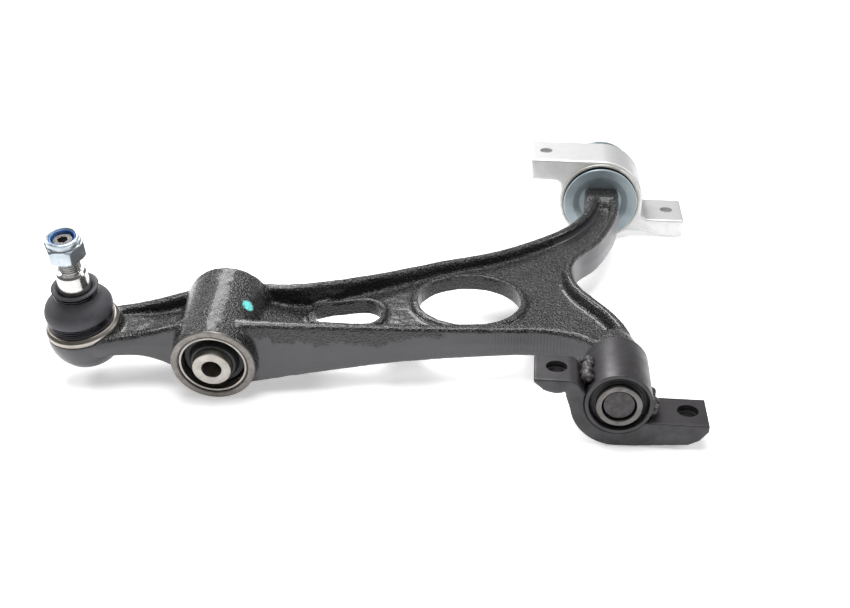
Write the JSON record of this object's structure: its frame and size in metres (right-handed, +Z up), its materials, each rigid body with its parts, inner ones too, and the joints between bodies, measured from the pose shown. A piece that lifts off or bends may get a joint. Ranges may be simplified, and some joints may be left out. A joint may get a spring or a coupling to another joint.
{
  "type": "suspension control arm",
  "caption": "Forged lower suspension arm with a ball joint, a damper bush and two bushed pivot brackets, one pressed and one cast.",
  "frame": {"origin": "centre of the footprint, on the floor the arm rests on", "axes": "+X runs from the ball joint to the pivot brackets, +Y runs along the pivot axis from the pressed bracket to the cast one, +Z is up along the ball stud's side"},
  "size_m": [0.4376, 0.3786, 0.1081],
  "materials": {
    "black_paint": "black paint over a rough cast and shot-blasted surface",
    "dark_primer": "satin dark grey dip coat on pressed steel",
    "bare_steel": "machined, unpainted",
    "polished_steel": "ground and polished",
    "rubber": "moulded, matte",
    "seat_plastic": "moulded bearing plastic",
    "zinc_plate": "bright zinc plating",
    "blue_nylon": "moulded locking ring",
    "cast_aluminium": "shot-blasted casting"
  },
  "bodies": {
    "arm": {"arm_forging": "black_paint", "ball_seat": "seat_plastic", "retaining_ring": "polished_steel", "boot_lower_ring": "black_paint", "damper_bush_outer_sleeve": "bare_steel", "damper_bush_rubber": "rubber", "front_bush_inner_sleeve": "bare_steel", "rear_bush_inner_sleeve": "bare_steel", "rear_washer_front": "zinc_plate", "rear_washer_back": "zinc_plate", "rear_journal_nut": "zinc_plate"},
    "front_bracket": {"front_bracket_plate": "dark_primer", "front_bracket_tube": "dark_primer", "weld_bead_upper": "dark_primer", "weld_bead_lower": "dark_primer", "weld_nut_outer": "dark_primer", "weld_nut_inner": "dark_primer", "front_bush_rubber": "rubber"},
    "rear_bracket": {"rear_bracket_casting": "cast_aluminium", "rear_bush_outer_sleeve": "bare_steel", "rear_bush_rubber": "rubber"},
    "damper_sleeve": {"damper_bush_inner_sleeve": "bare_steel"},
    "boot": {"boot_bellows": "rubber"},
    "boot_top": {"boot_collar": "rubber", "boot_upper_ring": "black_paint"},
    "stud": {"ball_stud": "polished_steel", "stud_nut": "zinc_plate", "nylon_insert": "blue_nylon"}
  },
  "joints": [
    {"name": "front_bracket_swing", "type": "hinge", "parent": "arm", "child": "front_bracket", "pos_m": [0.14905, -0.165, 0.03], "axis": [0, 1, 0], "range_deg": [-20, 20], "stiffness_Nm_per_rad": 40},
    {"name": "rear_bracket_swing", "type": "hinge", "parent": "arm", "child": "rear_bracket", "pos_m": [0.14905, 0.13525, 0.03], "axis": [0, 1, 0], "range_deg": [-20, 20], "stiffness_Nm_per_rad": 40},
    {"name": "damper_bush_twist", "type": "hinge", "parent": "arm", "child": "damper_sleeve", "pos_m": [-0.10474, -0.12809, 0.03166], "axis": [-0.05, 0.9883, 0.144], "range_deg": [-20, 20], "stiffness_Nm_per_rad": 15},
    {"name": "ball_joint_rock", "type": "hinge", "parent": "arm", "child": "boot", "pos_m": [-0.19424, -0.13387, 0.03256], "axis": [0.9998, 0, -0.019], "range_deg": [-20, 20], "deforming": ["boot_bellows"]},
    {"name": "ball_joint_sway", "type": "hinge", "parent": "boot", "child": "boot_top", "pos_m": [-0.19424, -0.13387, 0.03256], "axis": [0.004, 0.9775, 0.2111], "range_deg": [-20, 20]},
    {"name": "ball_stud_spin", "type": "hinge", "parent": "boot_top", "child": "stud", "pos_m": [-0.19424, -0.13387, 0.03256], "axis": [0.0186, -0.2111, 0.9773], "continuous": true}
  ]
}
